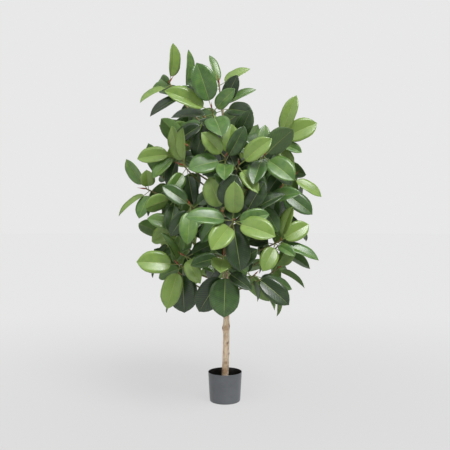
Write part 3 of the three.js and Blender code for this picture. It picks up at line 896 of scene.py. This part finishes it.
def grow_shoot(node):
    """Grows one shoot in the place of its CAD node."""
    chance = random.Random(node)
    leaves, curve = read_shoot(node)
    # Shoots in the crown's shade draw darker leaves: painted shade as well as age.
    drawn = INNER_AGES_AND_SHADE if node.startswith("shoot_inner_0") else REAR_AGES
    ages = SHOOT_AGES.get(node) or "".join(sorted(chance.choices(drawn, k=len(leaves))))
    ages = ages.ljust(len(leaves), OLDEST)
    growth = Growth()
    grow_stem(growth, curve, leaves, chance)
    for leaf, letter in zip(leaves, ages):
        age = AGES[letter] + chance.uniform(-AGE_SPREAD, AGE_SPREAD)
        grow_leaf(growth, leaf, min(1, max(0, age)), chance)
    piece = growth.finish(node.replace("shoot", "foliage"))
    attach(piece, "root")
    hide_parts(node)


for node in sorted(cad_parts):
    if node.startswith("shoot"):
        grow_shoot(node)
for master in (MASTER_BLADE, MASTER_STALK, MASTER_STEM, MASTER_BUD):
    bpy.data.objects.remove(master)


# ------------------------------------------------------------------------------------ trunk, pot and soil


def turned(name, profile, sides):
    """A closed body of revolution: a disc that is extruded ring by ring along its profile of
    [radius, height] points, and closed by a last disc."""
    radius, height = profile[0]
    body = start(
        name,
        bpy.ops.mesh.primitive_circle_add,
        vertices=sides,
        radius=radius,
        fill_type="NGON",
        location=(0, 0, height),
    )
    only(body)
    bpy.ops.object.transform_apply(location=True)
    bpy.ops.object.mode_set(mode="EDIT")
    bpy.ops.mesh.select_all(action="SELECT")
    for wider, higher in profile[1:]:
        bpy.ops.mesh.extrude_region_move(TRANSFORM_OT_translate={"value": (0, 0, higher - height)})
        grow = wider / radius
        bpy.ops.transform.resize(value=(grow, grow, 1), center_override=(0, 0, higher))
        radius, height = wider, higher
    bpy.ops.mesh.select_all(action="SELECT")
    bpy.ops.mesh.normals_make_consistent(inside=False)
    bpy.ops.object.mode_set(mode="OBJECT")
    return body


def make_trunk():
    """The trunk: a rod laid along the frame's trunk, with its knots, slow swellings and a worn top."""
    trunk = master_rod("trunk_pole", TRUNK_SIDES, TRUNK_ROWS, PEELED_TRUNK)
    foot = TRUNK[0][0]
    top = TRUNK[-1][0] + TRUNK_CAP
    knot_shade = trunk.data.attributes.new("knot", "FLOAT", "POINT")
    for number, corner in enumerate(trunk.data.vertices):
        z = foot + corner.co.z * (top - foot)
        centre, radius = trunk_at(z)
        turn = math.degrees(math.atan2(corner.co.x, -corner.co.y))
        rim = Vector((corner.co.x, corner.co.y, 0))
        spot = rim * TRUNK_SWELL_GIRTH + Vector((0, 0, z * TRUNK_SWELL_STRETCH))
        swell = 1 + sum(share * noise.noise(spot / size) for size, share in TRUNK_SWELLS)
        worn = math.sqrt(max(0, min(1, (top - z) / TRUNK_WORN_TOP)))
        out = 0
        shade = 0
        for height, knot_turn, stands, size in KNOTS:
            aside = math.radians((turn - knot_turn + 180) % 360 - 180) * radius
            off = math.hypot(aside, z - height) / size
            out += stands * math.exp(-off * off)
            shade = max(shade, KNOT_SHADE * math.exp(-((KNOT_NARROWER * off) ** 2)))
        in_soil = z < SOIL_TOP + SOIL_DOME
        reach = radius if in_soil else radius * swell + out
        corner.co = centre + rim * reach * (TRUNK_TOP_SHARE + (1 - TRUNK_TOP_SHARE) * worn)
        corner.co.z = z
        knot_shade.data[number].value = min(1, shade)
    trunk.data.shade_smooth()
    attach(trunk, "root")
    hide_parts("trunk")


def pot_radius(z):
    """The pot's outer radius at a height."""
    return POT_BASE_RADIUS + (POT_RIM_RADIUS - POT_BASE_RADIUS) * z / POT_HEIGHT


def make_pot():
    """The pot: a thin moulded wall on a raised foot, with a soft rim and drain holes in its floor."""
    foot = POT_BASE_RADIUS
    rim = POT_RIM_RADIUS
    outside = [
        (MIDDLE_DISC_RADIUS, POT_RAISED),
        (foot - 12 * MM, POT_RAISED),
        (foot - 10.5 * MM, 0.2 * MM),
        (foot - 9.5 * MM, 0),
        (foot - 5 * MM, 0),
        (foot - 2.6 * MM, 0.6 * MM),
        (foot - 0.9 * MM, 2.2 * MM),
        (foot - 0.1 * MM, 4.6 * MM),
    ]
    levels = [POT_HEIGHT * i / 6 for i in range(1, 6)]
    outside += [(pot_radius(z), z) for z in levels]
    lip = [
        (rim - 0.1 * MM, POT_HEIGHT - 3 * MM),
        (rim, POT_HEIGHT - 1.2 * MM),
        (rim - 0.4 * MM, POT_HEIGHT - 0.3 * MM),
        (rim - 1.0 * MM, POT_HEIGHT),
        (rim - 1.7 * MM, POT_HEIGHT - 0.3 * MM),
        (rim - POT_WALL, POT_HEIGHT - 1.4 * MM),
    ]
    inside = [(pot_radius(z) - POT_WALL, z) for z in reversed(levels)]
    inside += [
        (foot - 4.5 * MM, POT_FLOOR + 1.5 * MM),
        (foot - 7 * MM, POT_FLOOR),
        (MIDDLE_DISC_RADIUS, POT_FLOOR),
    ]
    pot = turned("pot_moulding", outside + lip + inside, POT_SIDES)
    pot.data.materials.append(MOULDED_POT)
    for i in range(DRAIN_HOLES):
        turn = i / DRAIN_HOLES * math.tau
        hole = start(
            "hole",
            bpy.ops.mesh.primitive_cylinder_add,
            vertices=24,
            radius=DRAIN_RADIUS,
            depth=4 * POT_FLOOR,
            location=(DRAIN_CIRCLE_RADIUS * math.cos(turn), DRAIN_CIRCLE_RADIUS * math.sin(turn), 0),
        )
        cut = pot.modifiers.new("drain", "BOOLEAN")
        cut.operation = "DIFFERENCE"
        cut.object = hole
        apply_modifiers(pot)
        bpy.data.objects.remove(hole)
    # The inside of the wall is painted near-black up to the lip: painted shade, where the light falls off
    # inside the pot.
    pot.data.materials.append(POT_INSIDE_SHADE)
    for face in pot.data.polygons:
        z = face.center.z
        is_inside = face.center.xy.length < pot_radius(z) - POT_WALL / 2
        if is_inside and POT_FLOOR < z < POT_HEIGHT - 2 * MM:
            face.material_index = 1
    only(pot)
    bpy.ops.object.shade_smooth_by_angle(angle=math.radians(40))
    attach(pot, "root")
    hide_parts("pot")


def strew_crumbs(soil, edge):
    """Lays the crumbs on the soil: copies of one pebble, each turned and flattened in its own way."""
    pebble = start("crumb", bpy.ops.mesh.primitive_ico_sphere_add, subdivisions=1, radius=1)
    chance = random.Random("soil")
    bm = bmesh.new()
    bm.from_mesh(soil.data)
    for _ in range(CRUMBS):
        size = chance.uniform(*CRUMB_SIZE)
        nearest = SOIL_HOLE_RADIUS + CRUMB_EDGE
        furthest = edge - CRUMB_EDGE
        reach = math.sqrt(chance.uniform(nearest**2, furthest**2))
        turn = chance.uniform(0, math.tau)
        share = (edge - reach) / (edge - SOIL_HOLE_RADIUS)
        place = (reach * math.cos(turn), reach * math.sin(turn), SOIL_TOP + SOIL_DOME * share)
        tilt = Euler((chance.uniform(*CRUMB_TILT), chance.uniform(*CRUMB_TILT), chance.uniform(0, math.tau)))
        shape = Vector([chance.uniform(*limits) for limits in CRUMB_SHAPE])
        count = len(bm.verts)
        bm.from_mesh(pebble.data)
        bm.verts.ensure_lookup_table()
        laid = Matrix.LocRotScale(Vector(place), tilt, shape * size)
        bmesh.ops.transform(bm, matrix=laid, verts=bm.verts[count:])
    bm.to_mesh(soil.data)
    bm.free()
    bpy.data.objects.remove(pebble)


def make_soil():
    """The soil: a plug that fills the pot, with an uneven top, and loose crumbs of bark and peat on it."""
    edge = pot_radius(SOIL_TOP) - POT_WALL - SOIL_GAP
    profile = [
        (MIDDLE_DISC_RADIUS, SOIL_BOTTOM),
        (POT_BASE_RADIUS - 8 * MM, SOIL_BOTTOM),
        (pot_radius(SOIL_SHOULDER) - POT_WALL - SOIL_GAP, SOIL_SHOULDER),
        (edge, SOIL_TOP),
    ]
    for i in range(1, SOIL_RINGS + 1):
        share = i / SOIL_RINGS
        profile.append((edge + (SOIL_HOLE_RADIUS - edge) * share, SOIL_TOP + SOIL_DOME * share))
    profile += [(SOIL_HOLE_RADIUS, SOIL_HOLE_BOTTOM), (6 * MM, SOIL_HOLE_BOTTOM)]
    soil = turned("soil_plug", profile, SOIL_SIDES)
    soil.data.materials.append(POTTING_MIX)
    for corner in soil.data.vertices:
        reach = corner.co.xy.length
        on_top = corner.co.z > SOIL_TOP - SOIL_EVEN_EDGE
        if on_top and SOIL_HOLE_RADIUS + SOIL_EVEN_EDGE < reach < edge - SOIL_EVEN_EDGE:
            for size, height in SOIL_LUMPS:
                corner.co.z += height * noise.noise(corner.co / size)
    strew_crumbs(soil, edge)
    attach(soil, "root")
    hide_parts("soil")


make_trunk()
make_pot()
make_soil()


# ------------------------------------------------------------------------------------------ floor and light


def make_floor():
    """A plain pale floor, partly lit from beneath so that shadows on it stay faint. It pales with the
    distance, so that it runs into the pale room."""
    floor = start(
        "studio_floor",
        bpy.ops.mesh.primitive_circle_add,
        vertices=96,
        radius=FLOOR_RADIUS,
        fill_type="TRIFAN",
    )
    material, tree, skin = new_material("pale_studio_paint")
    place = add(tree, "ShaderNodeTexCoord").outputs["Object"]
    far = add(tree, "ShaderNodeVectorMath", links={0: place}, operation="LENGTH").outputs["Value"]
    share = add(
        tree,
        "ShaderNodeMapRange",
        {"From Min": FLOOR_PALES_FROM, "From Max": FLOOR_PALES_TO},
        {"Value": far},
        interpolation_type="SMOOTHSTEP",
    ).outputs["Result"]
    colour = add(
        tree,
        "ShaderNodeMix",
        {6: hex_colour(FLOOR_NEAR), 7: hex_colour(FLOOR_FAR)},
        {0: share},
        data_type="RGBA",
    ).outputs[2]
    tree.links.new(colour, skin.inputs["Emission Color"])
    skin.inputs["Emission Strength"].default_value = 1.0
    skin.inputs["Base Color"].default_value = hex_colour(FLOOR_PAINT)
    skin.inputs["Roughness"].default_value = 1.0
    skin.inputs["Specular IOR Level"].default_value = 0.0
    floor.data.materials.append(material)


def soft_sun(name, azimuth, elevation, softness, strength):
    """A broad soft light from far away. Its azimuth is counted from the front to the right, and its
    softness is how wide it looks, all in degrees."""
    data = bpy.data.lights.new(name, "SUN")
    data.energy = strength
    data.angle = math.radians(softness)
    light = bpy.data.objects.new(name, data)
    level = math.cos(math.radians(elevation))
    way = Vector(
        (
            level * math.sin(math.radians(azimuth)),
            -level * math.cos(math.radians(azimuth)),
            math.sin(math.radians(elevation)),
        )
    )
    light.location = way * LIGHT_DISTANCE
    light.rotation_euler = way.to_track_quat("Z", "Y").to_euler()
    bpy.context.scene.collection.objects.link(light)


def make_room():
    """The room's light: dim at the horizon and bright overhead, like a studio's ceiling of soft boxes.
    The room is seen as a plain pale wall."""
    world = bpy.data.worlds.new("pale_room")
    world.use_nodes = True
    tree = world.node_tree
    way = add(tree, "ShaderNodeTexCoord").outputs["Generated"]
    upward = add(tree, "ShaderNodeSeparateXYZ", links={0: way}).outputs["Z"]
    strength = add(
        tree,
        "ShaderNodeMapRange",
        {"To Min": ROOM_AT_HORIZON, "To Max": ROOM_OVERHEAD},
        {"Value": upward},
    ).outputs["Result"]
    lit = tree.nodes["Background"]
    lit.inputs["Color"].default_value = hex_colour(ROOM_LIGHT)
    tree.links.new(strength, lit.inputs["Strength"])
    seen = add(tree, "ShaderNodeBackground", {"Color": hex_colour(ROOM_WALL), "Strength": 1.0})
    to_camera = add(tree, "ShaderNodeLightPath").outputs["Is Camera Ray"]
    mixed = add(
        tree,
        "ShaderNodeMixShader",
        links={0: to_camera, 1: lit.outputs[0], 2: seen.outputs[0]},
    )
    tree.links.new(mixed.outputs[0], tree.nodes["World Output"].inputs["Surface"])
    bpy.context.scene.world = world


make_floor()
make_room()
soft_sun("key_from_the_right", azimuth=36, elevation=56, softness=30, strength=2.9)
soft_sun("fill_from_the_left", azimuth=-50, elevation=35, softness=60, strength=0.4)
bpy.context.scene.view_settings.view_transform = "Standard"

camera_data = bpy.data.cameras.new("camera")
camera_data.lens = CAMERA_LENS_MM
camera_data.sensor_width = CAMERA_SENSOR_MM
camera = bpy.data.objects.new("camera", camera_data)
camera.location = CAMERA_PLACE
camera.rotation_euler = (math.pi / 2, 0, 0)
bpy.context.scene.collection.objects.link(camera)
bpy.context.scene.camera = camera
